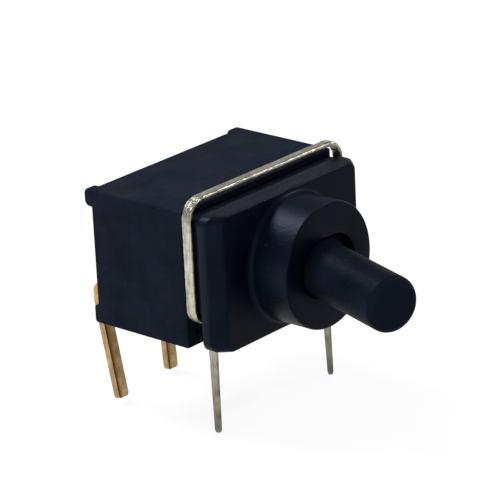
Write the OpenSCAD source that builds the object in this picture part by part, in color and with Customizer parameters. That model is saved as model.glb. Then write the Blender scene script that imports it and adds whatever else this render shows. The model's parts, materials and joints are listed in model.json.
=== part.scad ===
// Ultra-miniature two-position toggle switch for a circuit board, with a wire support hoop.
// Millimetres. X runs across the switch, the lever points towards -Y, Z is up off the board.
// Each module is drawn with y = 0 on the case's open front; place() moves the origin to the
// middle of the case's underside, which is the face that rests on the board.

/* [Case] */
// Width of the case
case_w = 6.54; // [6.5:0.02:8]
// Height of the case
case_h = 4.11; // [3.9:0.01:5]
// Depth of the case, without its corner feet
case_d = 3.47; // [3.35:0.01:4.4]
// Thickness of the case's sides, roof and floor
wall = 0.4; // [0.3:0.01:0.42]
// Thickness of the case's rear wall
rear_wall = 0.6; // [0.5:0.01:0.75]
// Width of a corner foot on the rear wall
foot_w = 0.36; // [0.2:0.01:0.5]
// Height of a corner foot
foot_h = 0.55; // [0.5:0.01:0.7]
// How far an upper foot stands out behind the rear wall
foot_out = 0.26; // [0.2:0.01:0.4]
// How far a lower foot stands out behind the rear wall
foot_out_low = 0.15; // [0.11:0.01:0.4]
// Radius of the upper feet's outer edges
foot_r = 0.18; // [0.05:0.01:0.24]
// Radius of the lower feet's outer edges
foot_low_r = 0.1; // [0.05:0.01:0.11]

/* [Bushing] */
// Depth of the open groove between the case and the flange, where the hoop sits
groove_d = 0.53; // [0.45:0.01:0.8]
// Thickness of the flange
flange_t = 0.68; // [0.5:0.01:0.9]
// How far the flange's sides stand inside the case's sides
flange_inset = 0.02; // [0:0.01:0.1]
// Width of the flange's slanted sides, seen from the front
chamfer_w = 0.34; // [0.1:0.01:0.5]
// Depth of the flange's slanted sides
chamfer_d = 0.38; // [0.2:0.01:0.45]
// Radius of the flange's corners
flange_corner_r = 0.35; // [0.1:0.01:0.6]
// Radius of the collar
collar_r = 1.87; // [1.8:0.01:1.95]
// Length of the collar in front of the flange
collar_len = 1.33; // [1.25:0.01:1.7]
// Clearance between the lever's shaft and the slot in the collar's front that it leans along
mouth_play = 0.04; // [0.03:0.01:0.08]

/* [Lever] */
// Radius of the lever's shaft
lever_r = 0.82; // [0.65:0.01:0.82]
// Distance from the lever's pivot to its tip
lever_len = 4.42; // [3.8:0.02:5.6]
// Radius of the edge round the lever's flat tip
lever_edge_r = 0.18; // [0.08:0.01:0.4]
// Lean of the lever to either side of the middle, in degrees
throw = 18; // [12:0.5:18]
// How much larger the radius of the ball that the lever turns on is than the shaft's
ball_step = 0.23; // [0.2:0.01:0.26]
// How far the ball's curve would stand out of the collar's front
ball_proud = 0.26; // [0.25:0.01:0.31]

/* [Plunger and rocker] */
// Radius of the spring plunger
plunger_r = 0.36; // [0.3:0.01:0.38]
// Distance from the pivot to the centre of the plunger's round tip
plunger_reach = 3; // [2.9:0.01:3.1]
// Depth that the plunger can be pressed into the lever
plunger_travel = 0.2; // [0.05:0.01:0.25]
// Radius of the spring's wire
wire_r = 0.05; // [0.03:0.005:0.06]
// Thickness of the rocking contact strip
rocker_t = 0.12; // [0.08:0.01:0.14]
// Height of the rocking contact strip along the pivot
rocker_h = 1.12; // [0.8:0.02:1.3]
// How far the rocking contact strip reaches past the outer terminals' centre lines
rocker_past = 0.16; // [0.1:0.01:0.2]
// Slant of each arm of the rocker, and its swing to either side, in degrees
arm_angle = 7; // [4:0.5:8]

/* [Terminals] */
// Distance between terminals
pitch = 2.54; // [2.5:0.01:2.56]
// Width of a terminal strip
strip_w = 0.41; // [0.3:0.01:0.48]
// Thickness of a terminal strip
strip_t = 0.22; // [0.15:0.01:0.25]
// Height of the strips' underside above the case's underside
strip_z = 0.77; // [0.65:0.01:0.9]
// How far the terminals stand out behind the rear wall
strip_out = 0.67; // [0.5:0.01:1.1]
// Length of a terminal's leg from the bend where it starts to lean
leg_len = 3.04; // [2.4:0.02:4]
// Forward lean of the terminal on the left, in degrees
left_lean = 11; // [0:0.5:12]
// Forward lean of the other two terminals, in degrees
other_lean = 4; // [0:0.5:12]
// Depth of the sealing resin behind the rear wall's inner skin
resin_d = 0.25; // [0.1:0.01:0.3]

/* [Support hoop] */
// Thickness of the hoop's wire in the plane of the hoop
hoop_t = 0.15; // [0.1:0.01:0.17]
// Width of the hoop's wire along the switch
hoop_w = 0.33; // [0.2:0.01:0.36]
// Clearance between the neck's top and the hoop
hoop_play_top = 0.4; // [0.3:0.01:1.4]
// Clearance between the neck and the hoop's side on the left
hoop_play_left = 0.02; // [0.01:0.01:0.1]
// Clearance between the neck and the hoop's side on the right
hoop_play_right = 0.14; // [0.01:0.01:0.16]
// Radius of the hoop's top corners, to the middle of the wire
hoop_corner_r = 0.53; // [0.3:0.01:0.8]
// Distance from the middle to each leg of the hoop
hoop_leg_x = 2.54; // [2.5:0.01:2.6]
// Length of the hoop's legs below the case
hoop_leg_len = 2.74; // [2:0.02:3.6]
// Width of a hoop leg below the case
hoop_leg_w = 0.25; // [0.15:0.01:0.3]
// Width of a hoop leg's tip
hoop_tip_w = 0.17; // [0.12:0.01:0.25]
// Forward offset of the left leg's tip
hoop_tip_left = 0.125; // [0:0.005:0.2]
// Forward offset of the right leg's tip
hoop_tip_right = 0.1; // [0:0.005:0.2]

/* [Hidden] */
$fn = 64;
fit = 0.02;            // clearance where one piece moves or slides on another
slip = 0.03;           // clearance between pieces that are put together once
overrun = 1;           // how far a cutting shape runs past the piece it cuts
flange_drop = 0.05;                      // how far the flange's top is below the case's top
flange_top = case_h - flange_drop;
flange_w = case_w - 2 * flange_inset;
flange_face_w = flange_w - 2 * chamfer_w;
mid_z = flange_top / 2;                  // height of the lever, the plunger and the rocker
cavity_w = case_w - 2 * wall;
cavity_h = case_h - 2 * wall;
cavity_d = case_d - rear_wall;

face_y = -groove_d - flange_t;           // front of the flange
mouth_y = face_y - collar_len;           // front of the collar
mouth_r = lever_r + mouth_play;          // half the height of the slot in the collar's front
ball_r = lever_r + ball_step;
ball_depth = ball_r - ball_proud;        // distance from the pivot to the collar's front
pivot_y = mouth_y + ball_depth;          // the lever's pivot
seat_r = ball_r + fit;                   // spherical seat in the collar
bore_r = ball_r + 2 * fit;               // round bore behind the seat
plug_d = 0.5;                            // how far the bushing reaches into the case
flare_y = -0.8;                          // where the bore starts to widen
flare_r = 1.5;                           // radius of the bore at the bushing's back
collar_fillet_r = 0.1;
collar_edge_r = 0.05;
neck_inset = 0.13;                       // how far the neck's sides stand inside the case's
neck_drop = 0.19;                        // how far the neck's top is below the case's top
neck_half = case_w / 2 - neck_inset;     // half width of the neck, inside the hoop's sides
neck_low_half = hoop_leg_x - hoop_t / 2 - 2 * slip;
neck_top = case_h - neck_drop;
neck_bottom = 0.34;
neck_corner_r = 0.3;                     // round of the neck's lower corners, inside the hoop's bend

ring_r = 0.125;                          // section radius of the lever's sealing ring
ring_ahead = 0.36;                       // distance of the sealing ring in front of the pivot
ring_mid_r = sqrt(pow(ball_r + fit + ring_r, 2) - ring_ahead * ring_ahead);

pin_r = 0.15;                            // radius of the pins on the ball that the lever turns on
pin_len = 0.25;                          // how far a pin stands out of the ball
pin_end = ball_r + pin_len;              // distance from the lever's axis to the end of a pin

stem_wall = 0.24;                        // wall of the lever's stem round the plunger
stem_end = 2.1;                          // distance from the pivot to the end of the lever's stem
spring_floor = -0.9;                     // bottom of the spring's hole, in front of the pivot
plunger_back = 1.25;                     // distance from the pivot to the plunger's inner end
guide_r = plunger_r + fit;
stem_r = guide_r + stem_wall;
spring_coil_r = plunger_r - 0.02 - wire_r;
spring_turns = 9;

arm_front = 0.03;                        // how far the arms' front is in front of the rocker's pivot
arm_back = rocker_t - arm_front;
bump_r = 0.25;                           // radius of the rocker's bump in its cradle
dome_h = 0.07;                           // height of a contact dome on the rocker
dome_half = 0.2;                         // radius of a contact dome's foot
dome_r = (dome_half * dome_half + dome_h * dome_h) / (2 * dome_h);
dome_x = pitch - 0.04;
rocker_half = pitch + rocker_past;       // half the length of the rocking contact strip
rocker_y = pivot_y + plunger_reach + (plunger_r + slip + arm_front) / cos(arm_angle);
pad_y = rocker_y + arm_back + dome_h + fit;          // front of the two fixed contacts
cradle_y = rocker_y + arm_back + fit;                // front of the common terminal's plate
cradle_half = 0.62;
ear_t = 0.15;                            // thickness of the ears above and below the rocker
pad_top = mid_z + 0.85;

bend_r = strip_t / 2 + 0.08;             // radius of a terminal's bends, to the middle of the strip
kink_r = 0.5;                            // radius of the slight bend where a terminal starts to lean
shelf_d = 0.5;                           // depth of the shelf that the terminals lie on
resin_w = cavity_w + 0.2;
resin_low = strip_z - 0.3;
resin_high = strip_z + strip_t + 0.4;

hoop_top = neck_top + hoop_play_top + hoop_t;
hoop_low_r = 0.4;                        // upper bend under the neck
hoop_leg_r = 0.28;                       // lower bend, into the leg
hoop_jog_z = 0.81;                       // height of the hoop's run under the neck
neck_step_z = hoop_jog_z + hoop_t / 2 + slip;        // where the neck narrows, just above that run

// Moves a piece so that the origin is the middle of the case's underside.
module place() translate([0, -case_d / 2, 0]) children();

// Turns +Z to -Y and sets it down at depth y, level with the lever.
module forward(y) translate([0, y, mid_z]) rotate([90, 0, 0]) children();

// The lever's own frame: origin at the pivot, +Z towards the tip, leaning to the left.
module on_lever() forward(pivot_y) rotate([0, -throw, 0]) children();

// A block centred on x = 0 that spans y0 to y1 and z0 to z1.
module block(w, y0, y1, z0, z1) translate([-w / 2, y0, z0]) cube([w, y1 - y0, z1 - z0]);

// A flat strip bent in the XY plane, starting at the origin and heading along +X.
// Each step is [0, length] for a straight run, [0, length, chamfer] for a run that ends in a
// chamfered tip, or [angle, radius] for a bend to the left.
module bent_strip(steps, t, w, k = 0) {
    if (k < len(steps)) {
        angle = steps[k][0];
        size = steps[k][1];
        if (angle == 0) {
            if (len(steps[k]) > 2) {
                cut = steps[k][2];
                rotate([90, 0, 0]) translate([0, 0, -t / 2]) linear_extrude(t)
                    polygon([[0, -w / 2], [size - cut, -w / 2], [size, -w / 2 + cut / 2],
                             [size, w / 2 - cut / 2], [size - cut, w / 2], [0, w / 2]]);
            } else {
                translate([0, -t / 2, -w / 2]) cube([size, t, w]);
            }
            translate([size, 0, 0]) bent_strip(steps, t, w, k + 1);
        } else {
            side = sign(angle);
            translate([0, side * size, 0]) {
                rotate([0, 0, angle > 0 ? -90 : 90 + angle])
                    rotate_extrude(angle = abs(angle)) translate([size - t / 2, -w / 2]) square([t, w]);
                rotate([0, 0, angle]) translate([0, -side * size, 0]) bent_strip(steps, t, w, k + 1);
            }
        }
    }
}

// Corner foot from the height z0 up by foot_h, standing out behind the rear wall, with its outer
// upper and lower edges rounded.
module foot(x, z0, out, r) {
    start = case_d - rear_wall / 2;
    end = case_d + out;
    translate([x - foot_w / 2, 0, z0]) rotate([90, 0, 90]) linear_extrude(foot_w) {
        translate([start, 0]) square([end - start - r, foot_h]);
        translate([start, r]) square([end - start, foot_h - 2 * r]);
        for (z = [r, foot_h - r]) translate([end - r, z]) circle(r);
    }
}

// Box with a hollow from the front, corner feet behind and a trough for the sealing resin.
module case() color("#1d222a") place() difference() {
    union() {
        block(case_w, 0, case_d, 0, case_h);
        for (x = [-1, 1] * (case_w - foot_w) / 2) {
            foot(x, case_h - foot_h, foot_out, foot_r);
            foot(x, 0, foot_out_low, foot_low_r);
        }
    }
    difference() {
        block(cavity_w, -overrun, cavity_d, wall, case_h - wall);
        block(case_w, cavity_d - shelf_d, case_d, 0, strip_z);
    }
    block(resin_w, case_d - resin_d, case_d + overrun, resin_low, resin_high);
    for (x = [-pitch, 0, pitch])
        translate([x, 0, 0])
            block(strip_w + 2 * fit, cavity_d - overrun, case_d, strip_z, strip_z + strip_t + fit);
}

// Flange with slanted sides and rounded corners: a rounded plate seen from the front, meeting
// a bevelled plate seen from above.
module flange() intersection() {
    translate([0, -groove_d, 0]) rotate([90, 0, 0]) linear_extrude(flange_t) union() {
        translate([-flange_w / 2, flange_corner_r]) square([flange_w, flange_top - 2 * flange_corner_r]);
        translate([-flange_w / 2 + flange_corner_r, 0])
            square([flange_w - 2 * flange_corner_r, flange_top]);
        for (x = [-1, 1], z = [flange_corner_r, flange_top - flange_corner_r])
            translate([x * (flange_w / 2 - flange_corner_r), z]) circle(flange_corner_r);
    }
    translate([0, 0, -overrun]) linear_extrude(case_h + 2 * overrun)
        polygon([[-flange_w / 2, -groove_d], [-flange_w / 2, face_y + chamfer_d],
                 [-flange_face_w / 2, face_y], [flange_face_w / 2, face_y],
                 [flange_w / 2, face_y + chamfer_d], [flange_w / 2, -groove_d]]);
}

// Half section of the collar, with a fillet at its foot and a small round at its front edge.
module collar_section() {
    foot = collar_r + collar_fillet_r;
    difference() {
        union() {
            translate([0, -flange_t / 2]) square([collar_r, flange_t / 2 + collar_len - collar_edge_r]);
            square([collar_r - collar_edge_r, collar_len]);
            translate([collar_r - collar_edge_r, collar_len - collar_edge_r]) circle(collar_edge_r);
            translate([0, -flange_t / 2]) square([foot, flange_t / 2 + collar_fillet_r]);
        }
        translate([foot, collar_fillet_r]) circle(collar_fillet_r);
    }
}

// Wide part of the neck, with round lower corners that the hoop bends under.
module neck() rotate([90, 0, 0]) linear_extrude(groove_d + flange_t / 2) {
    r = neck_corner_r;
    translate([-neck_half, neck_step_z + r]) square([2 * neck_half, neck_top - neck_step_z - r]);
    translate([-neck_half + r, neck_step_z]) square([2 * (neck_half - r), neck_top - neck_step_z]);
    for (x = [-1, 1]) translate([x * (neck_half - r), neck_step_z + r]) circle(r);
}

// Slot in the collar's front, in the pivot's frame: the space that a round shaft of radius
// mouth_r sweeps as it leans from side to side.
module mouth() {
    reach = 2 * ball_depth;
    for (s = [-1, 1]) rotate([0, s * throw, 0]) cylinder(h = reach, r = mouth_r);
    translate([0, mouth_r, 0]) rotate([90, 0, 0]) linear_extrude(2 * mouth_r)
        polygon([[0, 0], [reach * sin(throw), reach * cos(throw)],
                 [-reach * sin(throw), reach * cos(throw)]]);
}

// Flange, collar, neck and plug in one moulding, with the ball's seat, the ring's groove and a
// slot above and below, open behind, in which the lever's pins turn.
module bushing() color("#1b2029") place() difference() {
    union() {
        flange();
        forward(face_y) rotate_extrude() collar_section();
        neck();
        block(2 * neck_low_half, -groove_d - flange_t / 2, 0, neck_bottom, neck_top);
        block(cavity_w - 2 * slip, 0, plug_d, wall + slip, case_h - wall - slip);
    }
    forward(pivot_y) {
        sphere(seat_r);
        mouth();
        translate([0, 0, ring_ahead - ring_r - fit / 2])
            cylinder(h = 2 * ring_r + fit, r = ring_mid_r + ring_r + fit);
    }
    forward(flare_y) cylinder(h = flare_y - pivot_y, r = bore_r);
    forward(plug_d) cylinder(h = plug_d - flare_y, r1 = flare_r, r2 = bore_r);
    translate([0, pivot_y, mid_z - pin_end - slip]) cylinder(h = 2 * (pin_end + slip), r = pin_r + fit);
    block(2 * (pin_r + fit), pivot_y, plug_d + overrun, mid_z - pin_end - slip, mid_z + pin_end + slip);
}

// Half section of the lever outside its ball, with the edge of its flat tip rounded.
module lever_section() {
    square([lever_r, lever_len - lever_edge_r]);
    square([lever_r - lever_edge_r, lever_len]);
    translate([lever_r - lever_edge_r, lever_len - lever_edge_r]) circle(lever_edge_r);
}

// Shaft, ball, pins and stem in one moulding, bored from the back for the spring and its plunger.
module lever() color("#1c212a") place() on_lever() difference() {
    union() {
        rotate_extrude() lever_section();
        sphere(ball_r);
        translate([0, pin_end, 0]) rotate([90, 0, 0]) cylinder(h = 2 * pin_end, r = pin_r);
        translate([0, 0, -stem_end]) cylinder(h = stem_end, r = stem_r);
    }
    translate([0, 0, -stem_end - overrun]) cylinder(h = stem_end + overrun - spring_floor, r = guide_r);
}

// Rubber ring in the collar's groove, bearing on the ball.
module lever_seal() color("#15171a") place() forward(pivot_y - ring_ahead)
    rotate_extrude() translate([ring_mid_r, 0]) circle(ring_r);

// Steel pin with a round tip, sliding in the lever's stem.
module plunger() color("#b9bcc0") place() on_lever() {
    translate([0, 0, -plunger_reach]) cylinder(h = plunger_reach - plunger_back, r = plunger_r);
    translate([0, 0, -plunger_reach]) sphere(plunger_r);
}

// Height of the spring's wire above its lowest ring after t turns, with one closed turn at each end.
function coil_rise(t, turns, pitch_mid, pitch_end) =
    t < 1 ? t * pitch_end
    : t > turns - 1 ? pitch_end + (turns - 2) * pitch_mid + (t - turns + 1) * pitch_end
    : pitch_end + (t - 1) * pitch_mid;

// Compression spring between the bottom of its hole and the plunger, as a tube along a helix.
module plunger_spring() color("#aeb2b6") place() on_lever() {
    sides = 6;
    steps_per_turn = 16;
    room = -spring_floor + plunger_back - plunger_travel - 2 * slip - 2 * wire_r;
    pitch_end = 2.1 * wire_r;
    pitch_mid = (room - 2 * pitch_end) / (spring_turns - 2);
    last = spring_turns * steps_per_turn;
    points = [
        for (i = [0:last], j = [0:sides - 1])
            let (turn = i / steps_per_turn,
                 around = 360 * turn,
                 section = 360 * j / sides,
                 reach = spring_coil_r + wire_r * cos(section))
            [reach * cos(around), reach * sin(around),
             coil_rise(turn, spring_turns, pitch_mid, pitch_end) + wire_r * sin(section)]
    ];
    walls = [
        for (i = [0:last - 1], j = [0:sides - 1])
            let (k = (j + 1) % sides)
            [i * sides + j, (i + 1) * sides + j, (i + 1) * sides + k, i * sides + k]
    ];
    ends = [[for (j = [0:sides - 1]) j], [for (j = [sides - 1:-1:0]) last * sides + j]];
    translate([0, 0, -plunger_back + plunger_travel + slip + wire_r])
        polyhedron(points = points, faces = concat(walls, ends));
}

// One arm of the rocker in the rocker's frame, slanting forwards, with a round end and a dome.
module rocker_arm() rotate([0, 0, -arm_angle]) {
    end_r = rocker_h / 2;
    difference() {
        union() {
            translate([0, -arm_front, -end_r]) cube([rocker_half - end_r, rocker_t, rocker_h]);
            translate([rocker_half - end_r, arm_back, 0]) rotate([90, 0, 0]) cylinder(h = rocker_t, r = end_r);
            intersection() {
                translate([dome_x, arm_back + dome_h - dome_r, 0]) sphere(dome_r);
                translate([dome_x - dome_half, 0, -dome_half]) cube([2 * dome_half, 1, 2 * dome_half]);
            }
        }
        translate([dome_x, arm_back + dome_h - dome_r, 0]) sphere(dome_r - rocker_t);
    }
}

// See-saw strip that joins the common terminal to one side or the other. Its rounded bump turns
// in the common terminal's cradle, and a dome near each end meets a fixed contact.
module rocker_contact() color("#c9b06a") place() translate([0, rocker_y, mid_z]) rotate([0, 0, arm_angle])
    difference() {
        union() {
            rocker_arm();
            mirror([1, 0, 0]) rocker_arm();
            intersection() {
                translate([0, 0, -rocker_h / 2]) cylinder(h = rocker_h, r = bump_r);
                block(2 * bump_r, 0, bump_r, -rocker_h / 2, rocker_h / 2);
            }
        }
        translate([0, 0, -rocker_h / 2 - overrun]) cylinder(h = rocker_h + 2 * overrun, r = bump_r - rocker_t);
    }

// A terminal from the height z_top inside the case, down, back through the rear wall, down
// again and leaning forward, with a chamfered tip. y is the front of its upright part.
module bent_terminal(y, z_top, lean) {
    drop = 0.28;
    up = z_top - strip_z - strip_t / 2 - bend_r;
    run = case_d + strip_out - strip_t / 2 - bend_r - (y + strip_t / 2) - bend_r;
    leg = leg_len - kink_r * lean * PI / 180;
    translate([0, y + strip_t / 2, z_top]) rotate([0, 90, 0])
        bent_strip([[0, up], [90, bend_r], [0, run], [-90, bend_r], [0, drop],
                    [-lean, kink_r], [0, leg, 0.08]], strip_t, strip_w);
}

module left_terminal() color("#c99a52") place() translate([-pitch, 0, 0])
    bent_terminal(pad_y, pad_top, left_lean);

module right_terminal() color("#c99a52") place() translate([pitch, 0, 0])
    bent_terminal(pad_y, pad_top, other_lean);

// The middle terminal carries the cradle: a plate with a half-round channel for the rocker's
// bump, and an ear above and below the strip to keep it in height.
module common_terminal() color("#c99a52") place() {
    low = mid_z - rocker_h / 2 - 2 * fit - ear_t;
    high = mid_z + rocker_h / 2 + 2 * fit + ear_t;
    channel_r = bump_r + fit;
    difference() {
        union() {
            bent_terminal(cradle_y, low + strip_t, other_lean);
            block(2 * cradle_half, cradle_y, cradle_y + strip_t, low, high);
            translate([0, rocker_y, low]) cylinder(h = high - low, r = channel_r + strip_t);
            block(0.6, rocker_y - 0.15, cradle_y + strip_t, low, low + ear_t);
            block(0.6, rocker_y - 0.15, cradle_y + strip_t, high - ear_t, high);
        }
        translate([0, rocker_y, low + ear_t]) cylinder(h = high - low - 2 * ear_t, r = channel_r);
        block(case_w, rocker_y - overrun, cradle_y, low + ear_t, high - ear_t);
        block(case_w, rocker_y - overrun, rocker_y - 0.15, low, high);
    }
}

// Resin poured into the trough behind the case, round the three terminals.
module terminal_seal() color("#14181e") place() difference() {
    block(resin_w, case_d - resin_d, case_d, resin_low, resin_high);
    for (x = [-pitch, 0, pitch])
        translate([x, 0, 0]) block(strip_w, 0, case_d + overrun, strip_z, strip_z + strip_t);
}

// One side of the hoop: from the middle of the top, over the corner, down beside the neck, in
// under it and down to the board. play is its clearance from the neck on that side; knee and tip
// are how far its leg stands forward below the bend and at its end.
module hoop_side(play, knee, tip) {
    half = neck_half + play + hoop_t / 2;
    top_z = hoop_top - hoop_t / 2;
    down = top_z - hoop_corner_r - hoop_jog_z - hoop_low_r;
    inward = half - hoop_leg_x - hoop_low_r - hoop_leg_r;
    leg_top = hoop_jog_z - hoop_leg_r;
    knee_z = leg_top - 0.8;
    taper = 0.08;
    translate([0, 0, top_z]) rotate([90, 0, 0])
        bent_strip([[0, half - hoop_corner_r], [-90, hoop_corner_r], [0, down],
                    [-90, hoop_low_r], [0, max(inward, 0.001)], [90, hoop_leg_r]], hoop_t, hoop_w);
    translate([hoop_leg_x - hoop_t / 2, 0, 0]) rotate([90, 0, 90]) linear_extrude(hoop_t)
        polygon([[-hoop_w / 2, leg_top], [-knee - hoop_leg_w / 2, knee_z],
                 [-tip - hoop_tip_w / 2, taper - hoop_leg_len], [-tip - hoop_tip_w / 4, -hoop_leg_len],
                 [-tip + hoop_tip_w / 4, -hoop_leg_len], [-tip + hoop_tip_w / 2, taper - hoop_leg_len],
                 [-knee + hoop_leg_w / 2, knee_z], [hoop_w / 2, leg_top]]);
}

// Tinned wire hoop over the neck; its legs are soldered into the board.
module support_hoop() color("#b9b7a6") place() translate([0, -0.02 - hoop_w / 2, 0]) {
    hoop_side(hoop_play_right, 0.01, hoop_tip_right);
    mirror([1, 0, 0]) hoop_side(hoop_play_left, 0.1, hoop_tip_left);
}

case();
bushing();
lever();
lever_seal();
plunger();
plunger_spring();
rocker_contact();
left_terminal();
common_terminal();
right_terminal();
terminal_seal();
support_hoop();
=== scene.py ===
"""Looks of a right-angle toggle switch for a circuit board: blue-black nylon mouldings, a leaning
lever, gold-plated terminals and a tinned wire hoop. Lengths in the functions are millimetres in
the CAD frame: X across the switch, -Y the way the collar points, Z up off the board."""
import json
import bpy
import numpy as np
from mathutils import Matrix, Vector


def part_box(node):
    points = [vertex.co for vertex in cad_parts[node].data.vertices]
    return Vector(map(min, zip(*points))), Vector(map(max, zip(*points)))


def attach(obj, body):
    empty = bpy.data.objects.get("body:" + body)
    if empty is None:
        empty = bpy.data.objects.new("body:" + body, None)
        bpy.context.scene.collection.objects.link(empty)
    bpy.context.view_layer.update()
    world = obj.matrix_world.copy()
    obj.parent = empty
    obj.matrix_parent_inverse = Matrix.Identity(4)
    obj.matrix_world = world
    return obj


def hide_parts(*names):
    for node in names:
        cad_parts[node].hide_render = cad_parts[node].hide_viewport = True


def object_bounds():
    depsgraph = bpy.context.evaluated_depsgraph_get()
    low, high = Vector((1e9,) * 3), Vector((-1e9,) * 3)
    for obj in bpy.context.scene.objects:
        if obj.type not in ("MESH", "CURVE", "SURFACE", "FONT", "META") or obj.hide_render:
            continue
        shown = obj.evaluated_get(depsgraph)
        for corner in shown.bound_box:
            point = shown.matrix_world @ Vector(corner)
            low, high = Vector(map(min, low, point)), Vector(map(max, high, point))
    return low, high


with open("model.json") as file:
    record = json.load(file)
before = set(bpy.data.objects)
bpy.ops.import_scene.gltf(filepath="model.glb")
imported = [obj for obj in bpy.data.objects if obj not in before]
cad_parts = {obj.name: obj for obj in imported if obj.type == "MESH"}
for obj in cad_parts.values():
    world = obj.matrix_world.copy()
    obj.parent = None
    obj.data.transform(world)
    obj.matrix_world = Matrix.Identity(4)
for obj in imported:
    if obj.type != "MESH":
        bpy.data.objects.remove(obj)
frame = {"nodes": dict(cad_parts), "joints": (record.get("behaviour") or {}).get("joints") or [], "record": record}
cad_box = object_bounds()
MM = 0.001
nodes = frame["nodes"]
record = frame["record"]
mounts = {m["name"]: m for m in record["mounts"]}
joints = {j["name"]: j for j in frame["joints"]}


def span(name):
    """Lowest and highest corner of a CAD node, in millimetres."""
    low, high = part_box(name)
    return np.array(low) / MM, np.array(high) / MM


case_low, case_high = span("case")
bushing_low, bushing_high = span("bushing")
hoop_low, hoop_high = span("support_hoop")
seal_low, seal_high = span("terminal_seal")
case_front = case_low[1]
flange_face = mounts["panel_face"]["pos_m"][1] / MM
collar_r = mounts["collar"]["dims"]["r_mm"]
collar_front = bushing_low[1]
pivot = np.array(joints["lever_throw"]["pos_m"]) / MM
lever_axis = np.array(joints["plunger_slide"]["axis"])
mid_z = pivot[2]
# From the pivot to the flat of the lever's tip.
lever_tip = 4.42
# From one terminal to the next, and from the middle to each leg of the hoop.
hole_pitch = 2.54
# Half the width and the thickness of a terminal's strip.
strip_half, strip_thick = 0.205, 0.22


# ---------------------------------------------------------------- surfaces

# A mesh edge is drawn sharp where its faces meet at more than this many degrees.
SHARP = 35
NO_FACES = np.zeros((0, 3), int)


def grid_faces(rows, columns, close_rows=False, close_columns=True):
    """Quads of a grid whose point (i, j) has index i * columns + j; a closed side wraps round."""
    i = np.arange(rows if close_rows else rows - 1)[:, None]
    j = np.arange(columns if close_columns else columns - 1)[None, :]
    a, b = i * columns, (i + 1) % rows * columns
    k = (j + 1) % columns
    return np.stack([a + j, a + k, b + k, b + j], -1).reshape(-1, 4)


def piece(name, points, quads, triangles, body, slot, replaced, uv=None):
    """A mesh from a point array in millimetres, with its body and the CAD nodes that it hides; the
    slot argument is not used. Faces meeting at less than the sharp angle shade smoothly, weighted
    towards the larger ones."""
    mesh = bpy.data.meshes.new(name)
    mesh.from_pydata((points * MM).tolist(), [], quads.tolist() + triangles.tolist())
    mesh.polygons.foreach_set("use_smooth", np.ones(len(mesh.polygons), bool))
    mesh.set_sharp_from_angle(angle=np.radians(SHARP))
    if uv is not None:
        corners = np.zeros(len(mesh.loops), int)
        mesh.loops.foreach_get("vertex_index", corners)
        layer = mesh.uv_layers.new(name="run")
        layer.data.foreach_set("uv", uv[corners].ravel().astype(np.float32))
    thing = bpy.data.objects.new(name, mesh)
    bpy.context.scene.collection.objects.link(thing)
    weighted = thing.modifiers.new("even shading", "WEIGHTED_NORMAL")
    weighted.keep_sharp = True
    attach(thing, body)
    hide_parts(*replaced)
    return thing


def turned(profile, centre, axis, turns=128):
    """Surface of revolution: profile point (r, h) goes to centre + h*axis + r*(cos t*u + sin t*v)
    for t from 0 to 2 pi. A radius of 0 at an end becomes one closing point."""
    axis = axis / np.linalg.norm(axis)
    v = np.array([0.0, 0.0, 1.0])
    u = np.cross(v, axis)
    t = np.linspace(0, 2 * np.pi, turns, endpoint=False)
    ring = np.cos(t)[:, None] * u + np.sin(t)[:, None] * v
    profile = np.array(profile)
    start, end = profile[0, 0] == 0, profile[-1, 0] == 0
    body = profile[int(start):len(profile) - int(end)]
    grid = centre + body[:, 1, None, None] * axis + body[:, 0, None, None] * ring[None]
    points = grid.reshape(-1, 3)
    quads = grid_faces(len(body), turns)
    j = np.arange(turns)
    k = (j + 1) % turns
    fans = [NO_FACES]
    if start:
        fans.append(np.stack([k, j, np.full(turns, len(points))], 1))
        points = np.vstack([points, centre + profile[0, 1] * axis])
    if end:
        last = (len(body) - 1) * turns
        fans.append(np.stack([last + j, last + k, np.full(turns, len(points))], 1))
        points = np.vstack([points, centre + profile[-1, 1] * axis])
    return points, quads, np.vstack(fans)


def arc(cx, cy, r, start, end, steps):
    """Points (cx + r cos a, cy + r sin a) for a from start to end in degrees."""
    a = np.radians(np.linspace(start, end, steps))
    return np.stack([cx + r * np.cos(a), cy + r * np.sin(a)], 1)


def joined(*shells):
    """Several (points, quads, triangles) shells as one."""
    points, quads, triangles, start = [], [], [], 0
    for p, q, f in shells:
        points.append(p)
        quads.append(q + start)
        triangles.append(f + start)
        start += len(p)
    return np.vstack(points), np.vstack(quads), np.vstack(triangles)


# ---------------------------------------------------------------- bushing

def rounded_reach(angle, w, low, high, r):
    """Distance from the middle to a rounded rectangle |x| <= w, low <= z <= high, along an angle:
    the side, the top or bottom, or the circle of radius r at the corner that lies in between."""
    c, s = np.abs(np.cos(angle)) + 1e-9, np.sin(angle)
    h = np.where(s > 0, high, -low)
    s = np.abs(s) + 1e-9
    flat = np.minimum(w / c, h / s)
    x, z = flat * c, flat * s
    cx, cz = w - r, h - r
    along = cx * c + cz * s
    inside = np.maximum(along ** 2 - (cx ** 2 + cz ** 2 - r ** 2), 0)
    return np.where((x > cx) & (z > cz), along + np.sqrt(inside), flat)


def soft_min(a, b, k):
    """The smaller of two values, with a round of about k where they cross."""
    gap = np.maximum(k - np.abs(a - b), 0) / k
    return np.minimum(a, b) - gap ** 2 * k / 4


def slot_reach(angle, depth, r, lean):
    """Distance from the middle to the outline that a shaft of radius r sweeps at a depth ahead of
    its pivot as it leans either way: half an ellipse at each side and straight lines between."""
    c, s = np.abs(np.cos(angle)) + 1e-9, np.abs(np.sin(angle)) + 1e-9
    centre, wide = depth * np.tan(lean), r / np.cos(lean)
    a, b = c ** 2 / wide ** 2 + s ** 2 / r ** 2, c * centre / wide ** 2
    side = (b + np.sqrt(b ** 2 - a * (centre ** 2 / wide ** 2 - 1))) / a
    return np.where(r * c / s < centre, r / s, side)


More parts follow.
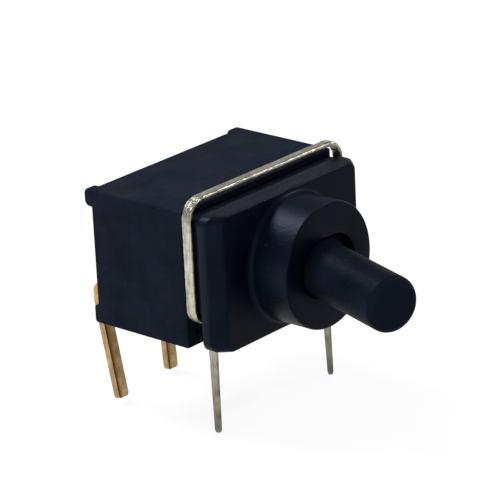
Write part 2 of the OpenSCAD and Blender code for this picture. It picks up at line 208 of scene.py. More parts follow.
def bushing_angles(corners, rounds):
    """Angles round the collar's axis for the bushing's grid: 288 even ones, three close together
    at each sharp corner (x, z), and 17 over each rounded corner (x, z, r), in all four quarters."""
    hair = 0.003
    sharp = [np.arctan2(z, x) + np.array([-hair, 0, hair]) for x, z in corners]
    turn = np.linspace(0, np.pi / 2, 17)
    near = [np.arctan2(z - r + r * np.sin(turn), x - r + r * np.cos(turn)) for x, z, r in rounds]
    first = np.concatenate(sharp + near)
    angle = np.concatenate([np.linspace(0, 2 * np.pi, 288, endpoint=False), first, np.pi - first,
                            np.pi + first, 2 * np.pi - first])
    return np.unique((angle % (2 * np.pi)).round(4))


def bushing():
    """Flange, collar, neck and plug as one closed grid. Rows are outlines round the collar's axis,
    each a reach for every angle at a depth, which go from the ball's bore out through the mouth,
    over the collar and the flange, and back along the neck and the plug. The mouth is the larger
    of the ball's seat and the slot that the leaning shaft sweeps. The flange's outline is a
    rounded rectangle whose sides slant in towards the front, with a soft crease where they meet.
    In this order of rows the faces point inwards; quads[:, ::-1] would point them outwards."""
    # The flange, the neck and the plug, with heights from the collar's middle.
    top, bottom = bushing_high[2] - mid_z, -mid_z
    wide, face_half, slant, side_crease, corner_crease = bushing_high[0], 2.91, 0.38, 0.05, 0.02
    corner, face_corner, edge, face_ring = 0.35, 0.3, 0.045, 0.2
    neck_length, neck_inset, neck_round, neck_top_round = 0.53, 0.13, 0.3, 0.06
    neck_w, neck_low_w = case_high[0] - neck_inset, 2.405
    neck_top, neck_step, neck_bottom = 3.92 - mid_z, 0.915 - mid_z, 0.34 - mid_z
    case_wall, plug_length, plug_round, plug_bevel = 0.43, 0.5, 0.02, 0.04
    plug_w, plug_low = case_high[0] - case_wall, case_wall - mid_z
    plug_top = case_high[2] - case_wall - mid_z
    flange_back, plug_back = case_front - neck_length, case_front + plug_length
    # The bore, the pins' slot, the ball's seat, the seal's groove and the mouth.
    seat_r, bore_r, groove_r, flare_r, mouth_r = 1.07, 1.09, 1.284, 1.5, 0.86
    flare_end, groove_back, groove_front = case_front - 0.8, 0.225, 0.495
    slot_half, slot_end, step = 0.17, 1.33, 0.01
    mouth_edge, collar_edge, fillet = 0.04, 0.06, 0.16
    lean = np.arctan2(abs(lever_axis[0]), abs(lever_axis[1]))
    angle = bushing_angles(
        [(wide, top), (face_half, top), (neck_w, neck_top), (neck_low_w, -neck_step),
         (neck_low_w, -neck_bottom), (plug_w, plug_top), (plug_w, -plug_low),
         (slot_half, slot_end), (slot_half, bore_r), (slot_half + step, bore_r + step)],
        [(wide, top, corner), (face_half, top, face_corner), (neck_w, -neck_step, neck_round)])
    ones = np.ones_like(angle)

    def slotted(r, half):
        slot = np.minimum(half / (np.abs(np.cos(angle)) + 1e-9), slot_end / (np.abs(np.sin(angle)) + 1e-9))
        return np.maximum(r, slot)

    def flange(depth, inset):
        half = soft_min(face_half + (wide - face_half) * depth / slant, wide, side_crease)
        plate = rounded_reach(angle, wide - inset, bottom + inset, top - inset, corner - inset)
        slanted = rounded_reach(angle, half - inset, bottom + inset, top - inset, face_corner - inset)
        return soft_min(plate, slanted, corner_crease)

    # From the plug's back through the bore and the pins' slot to the ball's seat and the groove.
    rows = [(slotted(flare_r, slot_half), plug_back), (slotted(bore_r, slot_half), flare_end),
            (slotted(bore_r, slot_half), pivot[1] + 0.001)]
    for d in (0, 0.06, 0.11, 0.145, 0.163):
        rows.append((slotted(np.sqrt(seat_r ** 2 - d ** 2), np.sqrt(slot_half ** 2 - d ** 2)), pivot[1] - d))
    for d in (0.171, 0.2, groove_back):
        rows.append((np.sqrt(seat_r ** 2 - d ** 2) * ones, pivot[1] - d))
    rows += [(groove_r * ones, pivot[1] - groove_back), (groove_r * ones, pivot[1] - groove_front)]
    # The mouth and its rounded rim, then over the collar's edge and down to the flange's face.
    front = pivot[1] - collar_front
    for d in np.linspace(groove_front, front - mouth_edge, 6):
        seat = np.sqrt(seat_r ** 2 - d ** 2)
        rows.append((np.maximum(seat, slot_reach(angle, d, mouth_r, lean)), pivot[1] - d))
    rim = slot_reach(angle, front, mouth_r, lean)
    for a in np.linspace(0, np.pi / 2, 5):
        rows.append((rim + mouth_edge * (1 - np.cos(a)), collar_front + mouth_edge * (1 - np.sin(a))))
    rows.append((0.5 * (rim + mouth_edge) + 0.5 * (collar_r - collar_edge), collar_front))
    over = arc(collar_r - collar_edge, collar_front + collar_edge, collar_edge, 270, 360, 7)
    down = arc(collar_r + fillet, flange_face - fillet, fillet, 180, 90, 9)
    for r, y in np.vstack([over, down]):
        rows.append((r * ones, y))
    # The flange: its face, its front edge, the slanting sides and the back edge.
    rows.append((flange(0, face_ring), flange_face))
    for a in np.linspace(0, np.pi / 2, 7):
        depth = edge * (1 - np.cos(a))
        rows.append((flange(depth, edge * (1 - np.sin(a))), flange_face + depth))
    slanting = np.linspace(0.08, slant - side_crease, 7)
    creased = np.linspace(slant - 0.03, slant + 0.04, 6)
    for depth in np.concatenate([slanting, creased]):
        rows.append((flange(depth, 0), flange_face + depth))
    for a in np.linspace(0, np.pi / 2, 5):
        rows.append((flange(slant + 0.2, edge * (1 - np.cos(a))), flange_back - edge * (1 - np.sin(a))))
    # The neck, with its step on the underside, and the plug in the case.
    upper = np.where(np.sin(angle) > 0, neck_top_round, neck_round)
    neck = np.maximum(rounded_reach(angle, neck_w, neck_step, neck_top, upper),
                      rounded_reach(angle, neck_low_w, neck_bottom, neck_top, neck_top_round))
    plug = rounded_reach(angle, plug_w, plug_low, plug_top, plug_round)
    rows += [(neck, flange_back), (neck, case_front), (plug, case_front),
             (plug, plug_back - plug_bevel), (plug - plug_bevel, plug_back)]

    reach = np.array([r for r, _ in rows])
    depth = np.array([y for _, y in rows])[:, None] * ones
    grid = np.stack([reach * np.cos(angle), depth, mid_z + reach * np.sin(angle)], -1)
    quads = grid_faces(len(rows), len(angle), close_rows=True)
    return grid.reshape(-1, 3), quads, NO_FACES


# ---------------------------------------------------------------- lever

def lever():
    """Shaft, ball and stem as one surface of revolution about the leaning axis, h being the
    distance from the pivot: the bore from behind, the stem, the ball, the shaft and its round-edged
    tip. A pin above and below the ball is a short cylinder whose ends draw in to a pinhole."""
    shaft, ball, stem, bore = 0.82, 1.05, 0.62, 0.38
    bore_floor, back, bore_bevel, stem_edge = 0.9, -2.1, 0.02, 0.05
    tip_edge, tip_ring, join = 0.22, 0.2, 0.06
    swell, swell_start, swell_end = 0.015, 0.05, 0.11
    ball_stem = 180 - np.degrees(np.arcsin(stem / ball))
    ball_shaft = np.degrees(np.arcsin((shaft + join) / ball))
    a = np.radians(np.linspace(ball_stem, ball_shaft, 40))
    ball_rows = np.stack([ball * np.sin(a), ball * np.cos(a)], 1)
    root = ball_rows[-1, 1]
    profile = np.vstack([
        [[0, bore_floor], [bore, bore_floor], [bore, back + bore_bevel], [bore + bore_bevel, back]],
        arc(stem - stem_edge, back + stem_edge, stem_edge, -90, 0, 5),
        ball_rows,
        [[shaft + swell, root + swell_start], [shaft, root + swell_end]],
        arc(shaft - tip_edge, lever_tip - tip_edge, tip_edge, 0, 90, 12),
        [[shaft - tip_edge - tip_ring, lever_tip], [0, lever_tip]]])
    body = turned(profile, pivot, lever_axis)

    pin_r, pin_root, pin_end, pin_bevel, point, turns = 0.15, 0.9, 1.3, 0.03, 0.0001, 32
    up = np.array([0.0, 0.0, 1.0])
    t = np.linspace(0, 2 * np.pi, turns, endpoint=False)
    ring = np.stack([np.cos(t), np.sin(t), 0 * t], 1)
    along = np.array([pin_root, pin_root, pin_end - pin_bevel, pin_end, pin_end])
    reach = np.array([point, pin_r, pin_r, pin_r - pin_bevel, point])
    quads = grid_faces(len(along), turns)
    pins = []
    for side in (-1, 1):
        heights = pivot[2] + side * along
        grid = pivot * [1, 1, 0] + heights[:, None, None] * up + reach[:, None, None] * ring
        pins.append((grid.reshape(-1, 3), quads if side > 0 else quads[:, ::-1], NO_FACES))
    return joined(body, *pins)


# ---------------------------------------------------------------- hoop

def strip(path, width, offset, thick):
    """A flat wire along a path in the XZ plane: at each path point a rounded rectangle, thick
    across the path and width along Y, moved to y = offset. Both ends draw in to a last tiny
    section, which stays open. The UV map runs in millimetres along the wire and round it, and
    bend is how sharply the path turns there, from 0 where it is straight to 1 in its tightest
    bends."""
    corner, corner_steps, end_shrink, point, girth = 0.068, 6, 0.9, 0.001, 0.9
    forward = np.gradient(path, axis=0)
    forward /= np.linalg.norm(forward, axis=1)[:, None]
    across = np.stack([-forward[:, 1], forward[:, 0]], 1)
    a = np.concatenate([np.radians(np.linspace(0, 90, corner_steps) + 90 * q) for q in range(4)])
    sx = np.repeat([1, -1, -1, 1], corner_steps)
    sy = np.repeat([1, 1, -1, -1], corner_steps)
    out = sx * (thick / 2 - corner) + corner * np.cos(a)
    side = sy * (width[:, None] / 2 - corner) + corner * np.sin(a)
    shrink = np.ones(len(path))
    shrink[[0, -1]] = point
    shrink[[1, -2]] = end_shrink
    out = out[None, :] * shrink[:, None]
    side = side * shrink[:, None]
    x = path[:, 0, None] + across[:, 0, None] * out
    z = path[:, 1, None] + across[:, 1, None] * out
    grid = np.stack([x, offset[:, None] + side, z], -1)
    run = np.concatenate([[0], np.cumsum(np.linalg.norm(np.diff(path, axis=0), axis=1))])
    around = np.linspace(0, girth, len(a))
    uv = np.stack(np.broadcast_arrays(run[:, None], around[None, :]), -1)
    quads = grid_faces(len(path), len(a))[:, ::-1]
    turn = np.linalg.norm(np.gradient(forward, axis=0), axis=1) / np.gradient(run)
    third = len(turn) // 3
    bend = np.repeat(np.clip(turn / turn[third:-third].max(), 0, 1), len(a))
    return grid.reshape(-1, 3), quads, uv.reshape(-1, 2), bend


def hoop():
    """The wire hoop as one strip: up the left leg, out under the neck, up its side, over the top
    and down the right side the same way. Bends are quarter circles; the legs stand forward of the
    hoop by an amount that runs smoothly from the lower bend to the knee and the tip."""
    thick, jog, low_r, leg_r, corner = 0.15, 0.81, 0.4, 0.28, 0.53
    y_mid = case_front - 0.185
    foot, knee = hoop_low[2], jog - leg_r
    left, right = hoop_low[0] + thick / 2, hoop_high[0] - thick / 2
    top_line = hoop_high[2] - thick / 2

    def half(x_out, side):
        drop = np.linspace(foot, knee, 40)[:-1]
        straight = np.stack([np.full(len(drop), side * hole_pitch), drop], 1)
        end = straight[[0, 0]] + [[0, 0], [0, 0.012]]
        leg = arc(side * (hole_pitch + leg_r), jog - leg_r, leg_r, 90 + side * 90, 90, 10)
        inward = arc(side * (x_out - low_r), jog + low_r, low_r, 270, 270 + side * 90, 12)
        rise = np.linspace(jog + low_r, top_line - corner, 26)[1:-1]
        climb = np.stack([np.full(len(rise), side * x_out), rise], 1)
        over = arc(side * (x_out - corner), top_line - corner, corner, 90 - side * 90, 90, 20)
        return np.vstack([end, straight[1:], leg, inward, climb, over])

    left_half, right_half = half(-left, -1), half(right, 1)
    run = np.linspace(left_half[-1, 0], right_half[-1, 0], 42)[1:-1]
    bar = np.stack([run, np.full(len(run), top_line)], 1)
    path = np.vstack([left_half, bar, right_half[::-1]])
    # The legs taper down from the knee; each has its own width and lean at four heights.
    z, is_left = path[:, 1], path[:, 0] < 0
    level = [foot, foot + 0.08, knee - 0.8, knee]
    width = np.where(is_left, np.interp(z, level, [0.17, 0.22, 0.29, 0.33]),
                     np.interp(z, level, [0.14, 0.18, 0.265, 0.33]))
    lean = np.where(is_left, np.interp(z, level, [0.125, 0.125, 0.1, 0.0]),
                    np.interp(z, level, [0.1, 0.1, 0.01, 0.0]))
    return strip(path, width, y_mid - lean, thick)


# ---------------------------------------------------------------- resin

def resin():
    """Resin poured round the terminals: a block whose rear face is a grid over x and z. It is
    highest at the trough's rim and at each strip, by a meniscus of 0.06 mm that fades as
    exp(-distance / 0.07), and slow waves run over the rest."""
    sunk, climb, fade, strip_z, skin = 0.075, 0.06, 0.07, 0.88, 0.1
    x = np.linspace(seal_low[0], seal_high[0], 181)
    z = np.linspace(seal_low[2], seal_high[2], 41)
    gx, gz = np.meshgrid(x, z)
    rim = np.minimum(np.minimum(gx - x[0], x[-1] - gx), np.minimum(gz - z[0], z[-1] - gz))
    beside = [np.maximum(np.abs(gx - c) - strip_half, 0) for c in (-hole_pitch, 0, hole_pitch)]
    above = np.maximum(np.abs(gz - strip_z) - strip_thick / 2, 0)
    near = np.minimum.reduce([np.hypot(side, above) for side in beside])
    wave = 0.012 * np.sin(1.9 * gx + 0.6) * np.cos(2.3 * gz) * np.minimum(rim, skin) / skin
    y = seal_high[1] - sunk + climb * np.exp(-rim / fade) + climb * np.exp(-near / fade) + wave
    back = np.stack([gx, np.minimum(y, seal_high[1] - 0.005), gz], -1)
    front = np.stack([gx, np.full_like(gx, seal_low[1] + 0.01), gz], -1)
    rows, columns = gx.shape
    faces = grid_faces(rows, columns, close_columns=False)
    count = rows * columns
    edge = np.concatenate([np.arange(columns), columns * np.arange(1, rows) + columns - 1,
                           count - 2 - np.arange(columns - 1), columns * np.arange(rows - 2, 0, -1)])
    after = np.roll(edge, -1)
    wall = np.stack([edge, after, after + count, edge + count], 1)
    points = np.vstack([back.reshape(-1, 3), front.reshape(-1, 3)])
    return points, np.vstack([faces[:, ::-1], faces + count, wall]), NO_FACES


# ---------------------------------------------------------------- materials

def linear(code):
    """sRGB hex code as a linear colour with alpha."""
    c = np.array([int(code[i:i + 2], 16) for i in (1, 3, 5)]) / 255
    c = np.where(c <= 0.04045, c / 12.92, ((c + 0.055) / 1.055) ** 2.4)
    return (*c.tolist(), 1.0)


def add(tree, kind, settings=None, **inputs):
    """Adds a node: settings are its attributes, inputs its sockets by name or number (with _ for a
    space), each a value or another node's output to link."""
    node = tree.nodes.new(kind)
    for key, value in (settings or {}).items():
        setattr(node, key, value)
    for key, value in inputs.items():
        numbered = key[0] == "i" and key[1:].isdigit()
        socket = node.inputs[int(key[1:]) if numbered else key.replace("_", " ")]
        if isinstance(value, bpy.types.NodeSocket):
            tree.links.new(value, socket)
        else:
            socket.default_value = value
    return node


def ramp(tree, factor, *stops):
    """A colour ramp through (position, hex colour or grey value) stops."""
    node = add(tree, "ShaderNodeValToRGB", i0=factor)
    marks = node.color_ramp.elements
    while len(marks) < len(stops):
        marks.new(0.5)
    for mark, (place, code) in zip(marks, stops):
        mark.position = place
        mark.color = linear(code) if isinstance(code, str) else (code, code, code, 1)
    return node.outputs[0]


def mixed(tree, how, factor, first, second):
    """Two colours mixed in the given way, the second with the strength of factor."""
    settings = {"data_type": "RGBA", "blend_type": how}
    return add(tree, "ShaderNodeMix", settings, Factor=factor, i6=first, i7=second).outputs[2]


def blank(name):
    """A new material with its tree, its shader and the place on the object in millimetres, so that
    a noise's scale is about the number of its patches per millimetre."""
    material = bpy.data.materials.new(name)
    material.use_nodes = True
    tree = material.node_tree
    shader = tree.nodes["Principled BSDF"]
    place = add(tree, "ShaderNodeTexCoord").outputs["Object"]
    place = add(tree, "ShaderNodeMapping", i0=place, Scale=(1000, 1000, 1000)).outputs[0]
    return material, tree, shader, place


def paint_tip_light(tree, place, colour, painted_tip_colour):
    """Painted light: turns the colour paler over the last bit of the lever, along its axis, in place of light
    falling on its tip.
    """
    tip, painted_length = float(pivot @ lever_axis) + lever_tip, 0.12
    along = add(tree, "ShaderNodeVectorMath", {"operation": "DOT_PRODUCT"}, i0=place, i1=tuple(lever_axis))
    amount = add(tree, "ShaderNodeMapRange", Value=along.outputs["Value"],
                 From_Min=tip - painted_length, From_Max=tip)
    return mixed(tree, "MIX", amount.outputs[0], colour, linear(painted_tip_colour))


def moulded_nylon(name, dark, mid, light, roughness, gloss, grain_height, painted_tip_colour=None):
    """Glass-filled nylon from a textured mould: a blue-black whose shade changes slowly over about
    a millimetre, a few paler dust specks, and a soft sheen broken by a fine dull grain. The grain
    is drawn about 0.09 mm wide, coarser than the real one, so that it shows. Its height is in
    metres. Given a tip colour, the lever's tip is painted in that paler colour as painted light."""
    material, tree, shader, place = blank(name)
    cloud = add(tree, "ShaderNodeTexNoise", Vector=place, Scale=0.9, Detail=5.0, Roughness=0.6)
    colour = ramp(tree, cloud.outputs[0], (0.32, dark), (0.5, mid), (0.68, light))
    speck = add(tree, "ShaderNodeTexNoise", Vector=place, Scale=9.0, Detail=2.0)
    dust = ramp(tree, speck.outputs[0], (0.72, 0.0), (0.78, 1.0))
    colour = mixed(tree, "MIX", dust, colour, linear("#2b313b"))
    # Painted light: the lever's tip is painted a paler colour.
    if painted_tip_colour:
        colour = paint_tip_light(tree, place, colour, painted_tip_colour)
    tree.links.new(colour, shader.inputs["Base Color"])
    grain = add(tree, "ShaderNodeTexNoise", Vector=place, Scale=11.0, Detail=3.0, Roughness=0.6)
    rough = add(tree, "ShaderNodeMapRange", Value=grain.outputs[0],
                To_Min=roughness - 0.07, To_Max=roughness + 0.09)
    tree.links.new(rough.outputs[0], shader.inputs["Roughness"])
    bump = add(tree, "ShaderNodeBump", Height=grain.outputs[0], Strength=1.0, Distance=grain_height)
    tree.links.new(bump.outputs[0], shader.inputs["Normal"])
    shader.inputs["IOR"].default_value = 1.53
    shader.inputs["Specular IOR Level"].default_value = gloss
    shader.inputs["Specular Tint"].default_value = linear("#b4c8ef")
    return material


def forming_creases(tree, place, relief):
    """Adds crinkles to the wire's relief where its bend attribute says that it was bent."""
    crinkle = add(tree, "ShaderNodeTexNoise", Vector=place, Scale=5.0, Detail=1.0).outputs[0]
    bend = add(tree, "ShaderNodeAttribute", {"attribute_name": "bend"}).outputs["Fac"]
    crinkle = add(tree, "ShaderNodeMath", {"operation": "MULTIPLY"}, i0=crinkle, i1=bend).outputs[0]
    total = add(tree, "ShaderNodeMath", {"operation": "MULTIPLY_ADD"}, i0=crinkle, i1=4.0, i2=relief)
    return total.outputs[0]


def painted_leg_shade(tree, on_object, colour):
    """Painted shade: darkens the tin's colour with height, full on the hoop's top bar, a little darker
    down its sides, and darkest at the tips of the legs."""
    height = add(tree, "ShaderNodeSeparateXYZ", i0=on_object).outputs["Z"]
    foot, top = float(hoop_low[2]), float(hoop_high[2])
    rise = add(tree, "ShaderNodeMapRange", Value=height, From_Min=foot, From_Max=top).outputs[0]
    height_shade = ramp(tree, rise, (0.07, "#a9a9a4"), (0.5, "#e5e5e3"), (0.955, "#e3e3e1"), (0.985, "#ffffff"))
    return mixed(tree, "MULTIPLY", 1.0, colour, height_shade)


def painted_edge_shade(tree, colour, shade_brown):
    """Painted shade: darkens the front of each terminal beside its left edge with a brown that fades
    to nothing by the middle of the strip. The other faces keep their colour."""
    where = add(tree, "ShaderNodeTexCoord")
    x = add(tree, "ShaderNodeSeparateXYZ", i0=where.outputs["Object"]).outputs["X"]
    half_pitch, faded = hole_pitch / 2 * MM, -0.02 * MM
    across = add(tree, "ShaderNodeMath", {"operation": "WRAP"}, i0=x, i1=half_pitch, i2=-half_pitch)
    fade = add(tree, "ShaderNodeMapRange", {"interpolation_type": "SMOOTHSTEP"}, Value=across.outputs[0],
               From_Min=-strip_half * MM, From_Max=faded, To_Min=1.0, To_Max=0.0)
    facing = add(tree, "ShaderNodeSeparateXYZ", i0=where.outputs["Normal"]).outputs["Y"]
    front = add(tree, "ShaderNodeMapRange", Value=facing, From_Min=-0.6, From_Max=-0.9)
    amount = add(tree, "ShaderNodeMath", {"operation": "MULTIPLY"}, i0=fade.outputs[0], i1=front.outputs[0])
    return mixed(tree, "MULTIPLY", amount.outputs[0], colour, linear(shade_brown))


def plated(name, deep, mid, bright, roughness, lines, dents=0.000006, spread=0.15, wire=False, edge_shade_colour=None):
    """Plated strip metal: a warm or grey metal whose shade drifts in patches of about half a
    millimetre, with fine lines drawn along it (so many per millimetre in X, Y and Z) and small
    dull spots where the plating is thin. The three shades lie spread apart round the middle of
    the noise, and dents is the relief in metres. A wire's patterns follow its run."""
    material, tree, shader, on_object = blank(name)
    place = add(tree, "ShaderNodeUVMap", {"uv_map": "run"}).outputs[0] if wire else on_object
    patch = add(tree, "ShaderNodeTexNoise", Vector=place, Scale=2.2, Detail=6.0, Roughness=0.65)
    drawn = add(tree, "ShaderNodeMapping", i0=place, Scale=lines)
    drawn = add(tree, "ShaderNodeTexNoise", Vector=drawn.outputs[0], Scale=1.0, Detail=4.0, Roughness=0.7)
    shade = add(tree, "ShaderNodeMix", {"data_type": "FLOAT"}, Factor=0.4, i2=patch.outputs[0],
                i3=drawn.outputs[0]).outputs[0]
    colour = ramp(tree, shade, (0.5 - spread, deep), (0.5, mid), (0.5 + spread, bright))
    relief = shade
    if wire:
        relief = forming_creases(tree, place, shade)
        # Painted shade: the tin is painted darker down the legs, full only on the top bar.
        colour = painted_leg_shade(tree, on_object, colour)
    # Painted shade: a brown along the left edge of each terminal's front.
    if edge_shade_colour:
        colour = painted_edge_shade(tree, colour, edge_shade_colour)
    tree.links.new(colour, shader.inputs["Base Color"])
    rough = add(tree, "ShaderNodeMapRange", Value=shade, To_Min=roughness + 0.12, To_Max=roughness - 0.1)
    tree.links.new(rough.outputs[0], shader.inputs["Roughness"])
    bump = add(tree, "ShaderNodeBump", Height=relief, Strength=0.5, Distance=dents)
    tree.links.new(bump.outputs[0], shader.inputs["Normal"])
    shader.inputs["Metallic"].default_value = 1.0
    return material


# Case: nylon from a mould with a deeper grain, so a dull blue-black with almost no highlight.
case_nylon = moulded_nylon("moulded_nylon_case", "#1a1f2b", "#1f2431", "#242a38", 0.54, 0.01, 0.00001)
# Bushing: the same nylon from a smoother mould, darker, with a soft wide sheen on the collar.
bushing_nylon = moulded_nylon("moulded_nylon_bushing", "#060c18", "#09101d", "#0e1523", 0.36, 0.138, 0.000006)
# Lever: smooth from handling, with a faint band of light along its top, and its tip painted paler as painted
# light.
lever_nylon = moulded_nylon("moulded_nylon_lever", "#0b111c", "#0f1520", "#131a26", 0.42, 0.04, 0.000008,
                            painted_tip_colour="#1c2331")
# Tin plate on formed flat wire: a yellowish grey that is silky rather than bright.
tin_plate = plated("tin_plate_on_flat_wire", "#9e9c90", "#d6d4c0", "#f7f4e2", 0.3, (0.6, 30, 1),
                   dents=0.00004, spread=0.09, wire=True)
# Gold flash on a stamped copper alloy strip: light gold with browner drawn lines, and a painted
# shade of brown along the left edge of each terminal's front.
gold_flash = plated("gold_flash_on_stamped_strip", "#8a7050", "#b89769", "#e6cea6", 0.28, (30, 30, 0.8),
                    spread=0.2, edge_shade_colour="#75582f")
# Gold flash on rolled spring alloy: yellower and brighter, as it sits sealed in the case.
contact_gold = plated("gold_flashed_contact_alloy", "#b3905a", "#d6b372", "#e9cf96", 0.26, (2, 14, 14))
# Turned stainless steel: a neutral grey with the tool's fine rings.
pin_steel = plated("turned_stainless_steel", "#8f9294", "#b3b5b7", "#cccdce", 0.22, (3, 3, 30))
# Drawn stainless wire: a slightly darker grey with fine scratches all round.
spring_steel = plated("drawn_stainless_wire", "#84878a", "#a5a8ab", "#c2c4c6", 0.28, (20, 20, 20))


def nitrile_rubber():
    """Black rubber ring: matt with a faint bloom, so it takes almost no highlight."""
    material, tree, shader, place = blank("nitrile_rubber")
    bloom = add(tree, "ShaderNodeTexNoise", Vector=place, Scale=4.0, Detail=4.0).outputs[0]
    tree.links.new(ramp(tree, bloom, (0.35, "#131415"), (0.7, "#202123")), shader.inputs["Base Color"])
    bump = add(tree, "ShaderNodeBump", Height=bloom, Strength=0.1, Distance=0.00001)
    tree.links.new(bump.outputs[0], shader.inputs["Normal"])
    shader.inputs["Roughness"].default_value = 0.72
    shader.inputs["Specular IOR Level"].default_value = 0.3
    return material


def poured_epoxy():
    """Black potting epoxy: smooth and wet-looking, with slow waves and a few tiny bubbles."""
    material, tree, shader, place = blank("poured_epoxy")
    cloud = add(tree, "ShaderNodeTexNoise", Vector=place, Scale=1.4, Detail=3.0).outputs[0]
    tree.links.new(ramp(tree, cloud, (0.3, "#101317"), (0.7, "#171b20")), shader.inputs["Base Color"])
    bubble = add(tree, "ShaderNodeTexVoronoi", {"feature": "F1"}, Vector=place, Scale=3.2)
    pit = add(tree, "ShaderNodeMapRange", Value=bubble.outputs["Distance"], From_Max=0.12)
    bump = add(tree, "ShaderNodeBump", Height=pit.outputs[0], Strength=0.5, Distance=0.00002)
    tree.links.new(bump.outputs[0], shader.inputs["Normal"])
    shader.inputs["Roughness"].default_value = 0.16
    shader.inputs["Specular IOR Level"].default_value = 0.4
    return material


def dress(thing, material):
    """Gives every slot of a piece one material."""
    if not thing.data.materials:
        thing.data.materials.append(material)
    for place in thing.material_slots:
        place.material = material


# ---------------------------------------------------------------- pieces

def softened(name, width, segments):
    """Breaks the edges of a CAD node with a small round, after its triangles are joined up."""
    thing = nodes[name]
    thing.modifiers.new("joined", "WELD").merge_threshold = 2e-7
    flat = thing.modifiers.new("flats", "DECIMATE")
    flat.decimate_type, flat.angle_limit = "DISSOLVE", np.radians(0.5)
    edge = thing.modifiers.new("edges", "BEVEL")
    edge.width, edge.segments = width * MM, segments
    edge.limit_method, edge.angle_limit = "ANGLE", np.radians(30)
    edge.use_clamp_overlap = False
    edge.harden_normals = False


dress(piece("bushing_moulding", *bushing(), "housing", "bushing_plastic", ["bushing"]), bushing_nylon)
dress(piece("lever_moulding", *lever(), "lever", "lever_plastic", ["lever"]), lever_nylon)
points, quads, uv, bend = hoop()
wire = piece("hoop_wire", points, quads, NO_FACES, "housing", "tinned_wire", ["support_hoop"], uv)
wire.data.attributes.new("bend", "FLOAT", "POINT").data.foreach_set("value", bend.astype(np.float32))
dress(wire, tin_plate)
dress(piece("resin_fill", *resin(), "housing", "sealing_resin", ["terminal_seal"]), poured_epoxy())
dress(nodes["case"], case_nylon)
softened("case", 0.05, 3)
for name in ("left_terminal", "common_terminal", "right_terminal"):
    dress(nodes[name], gold_flash)
    softened(name, 0.02, 2)
dress(nodes["rocker_contact"], contact_gold)
dress(nodes["plunger"], pin_steel)
dress(nodes["plunger_spring"], spring_steel)
dress(nodes["lever_seal"], nitrile_rubber())


# ---------------------------------------------------------------- stage, light and camera

# The board's own shade, and its strength to the camera and as it shows in reflections, from the
# front right to behind on the left.
BOARD_SHADE, BOARD_SEEN, BOARD_NEAR, BOARD_FAR = 0.2, 0.88, 0.17, 0.95
# The walls' light on the object, and their strength in reflections from some way up.
AMBIENT, CEILING = 0.3, 0.18


def seen(tree, shown, mirrored, hidden):
    """One strength for what the camera sees, also through a glass, one for what a reflection shows
    and one for the light that falls on the object."""
    ray = add(tree, "ShaderNodeLightPath").outputs
    direct = add(tree, "ShaderNodeMath", {"operation": "MAXIMUM"}, i0=ray["Is Camera Ray"],
                 i1=ray["Is Transmission Ray"]).outputs[0]
    unseen = add(tree, "ShaderNodeMix", {"data_type": "FLOAT"}, Factor=ray["Is Glossy Ray"],
                 i2=hidden, i3=mirrored).outputs[0]
    return add(tree, "ShaderNodeMix", {"data_type": "FLOAT"}, Factor=direct, i2=unseen, i3=shown).outputs[0]


def white_board():
    """A wide floor just under the longest legs. It is white to the eye and keeps the object's
    shadow; it gives the object little light, so that what faces it stays dark. In reflections it
    is paler behind the object on the left than in front on the right."""
    half, height = 900, cad_box[0][2] / MM - 0.02
    corners = ((-half, -half), (half, -half), (half, half), (-half, half))
    mesh = bpy.data.meshes.new("floor")
    mesh.from_pydata([(x * MM, y * MM, height * MM) for x, y in corners], [], [(0, 1, 2, 3)])
    floor = bpy.data.objects.new("floor", mesh)
    bpy.context.scene.collection.objects.link(floor)
    material, tree, shader, place = blank("matt_white_board")
    shader.inputs["Base Color"].default_value = (BOARD_SHADE, BOARD_SHADE, BOARD_SHADE, 1)
    shader.inputs["Roughness"].default_value = 1.0
    shader.inputs["Specular IOR Level"].default_value = 0.0
    shader.inputs["Emission Color"].default_value = (1, 1, 1, 1)
    behind_left, reach = (-0.75, 0.66, 0), 12.0
    aside = add(tree, "ShaderNodeVectorMath", {"operation": "DOT_PRODUCT"}, i0=place, i1=behind_left)
    mirrored = add(tree, "ShaderNodeMapRange", Value=aside.outputs["Value"], From_Min=-reach, From_Max=reach,
                   To_Min=BOARD_NEAR, To_Max=BOARD_FAR)
    tree.links.new(seen(tree, BOARD_SEEN, mirrored.outputs[0], 0.0), shader.inputs["Emission Strength"])
    dress(floor, material)


def white_walls():
    """A white surround: white to the eye, darker upwards in reflections, and weak as a light."""
    world = bpy.data.worlds.new("studio")
    bpy.context.scene.world = world
    world.use_nodes = True
    tree = world.node_tree
    way = add(tree, "ShaderNodeTexCoord").outputs["Generated"]
    up = add(tree, "ShaderNodeSeparateXYZ", i0=way).outputs["Z"]
    mirrored = add(tree, "ShaderNodeMapRange", Value=up, From_Min=0.0, From_Max=0.24,
                   To_Min=1.0, To_Max=CEILING).outputs[0]
    background = tree.nodes["Background"].inputs
    tree.links.new(seen(tree, 1.0, mirrored, AMBIENT), background["Strength"])
    background["Color"].default_value = (1, 1, 1, 1)


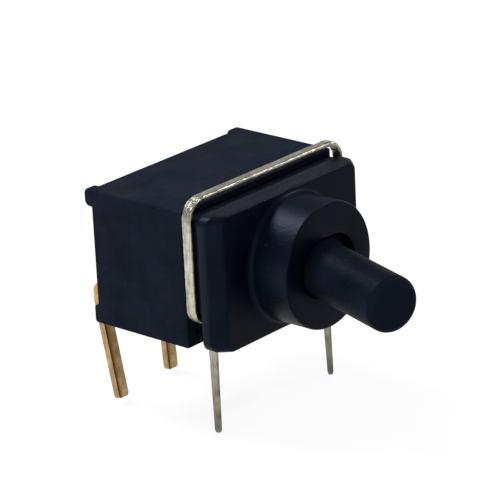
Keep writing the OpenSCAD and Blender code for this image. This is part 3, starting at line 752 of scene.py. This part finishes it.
def lamp(name, toward, size, strength, target, mirrored=True):
    """A square soft lamp: it stands off from the target in a direction and faces it. Mirrored says
    whether reflections show it."""
    stand_off = 120
    light = bpy.data.lights.new(name, "AREA")
    light.size = size * MM
    light.energy = strength
    thing = bpy.data.objects.new(name, light)
    toward = Vector(toward).normalized()
    thing.location = Vector(target) * MM + toward * stand_off * MM
    thing.rotation_euler = (-toward).to_track_quat("-Z", "Y").to_euler()
    thing.visible_glossy = mirrored
    bpy.context.scene.collection.objects.link(thing)


def camera(azimuth, elevation, roll, distance, target, lens):
    """A camera at a distance from the target, turned about the sight line by roll. Angles are in
    degrees and the lens is for a picture 36 mm wide."""
    a, e, r = np.radians([azimuth, elevation, roll])
    back = np.array([np.sin(a) * np.cos(e), -np.cos(a) * np.cos(e), np.sin(e)])
    x = np.cross([0, 0, 1], back)
    x /= np.linalg.norm(x)
    y = np.cross(back, x)
    axes = [np.cos(r) * x + np.sin(r) * y, -np.sin(r) * x + np.cos(r) * y, back,
            (np.array(target) + back * distance) * MM]
    lens_data = bpy.data.cameras.new("camera")
    lens_data.sensor_width, lens_data.lens, lens_data.clip_start = 36, lens, 0.001
    thing = bpy.data.objects.new("camera", lens_data)
    bpy.context.scene.collection.objects.link(thing)
    thing.matrix_world = Matrix(np.vstack([np.array(axes).T, [0, 0, 0, 1]]).tolist())
    bpy.context.scene.camera = thing


white_board()
white_walls()
middle = (0, case_front, mid_z)
# High behind: the band of light along the collar and the lever, and the light on the tops.
lamp("key", (-0.13, 0.54, 0.83), 52, 0.086, middle)
# Broad, from the left: the left sides of the case and flange, with no highlight of its own.
lamp("side", (-0.95, 0.1, 0.2), 110, 0.08, middle, mirrored=False)
# Small and high at the front right: a thin light on the edges there.
lamp("rim", (0.7, -0.35, 0.62), 12, 0.03, middle)
# Broad and weak at the front left: lifts the front faces.
lamp("fill", (-0.65, -0.72, 0.2), 90, 0.012, middle)
camera(-48.25, 20.73, -2.81, 86.7, (-0.467, case_front, mid_z + 0.076), 218.59)
bpy.context.scene.view_settings.view_transform = "Standard"

bpy.context.view_layer.update()
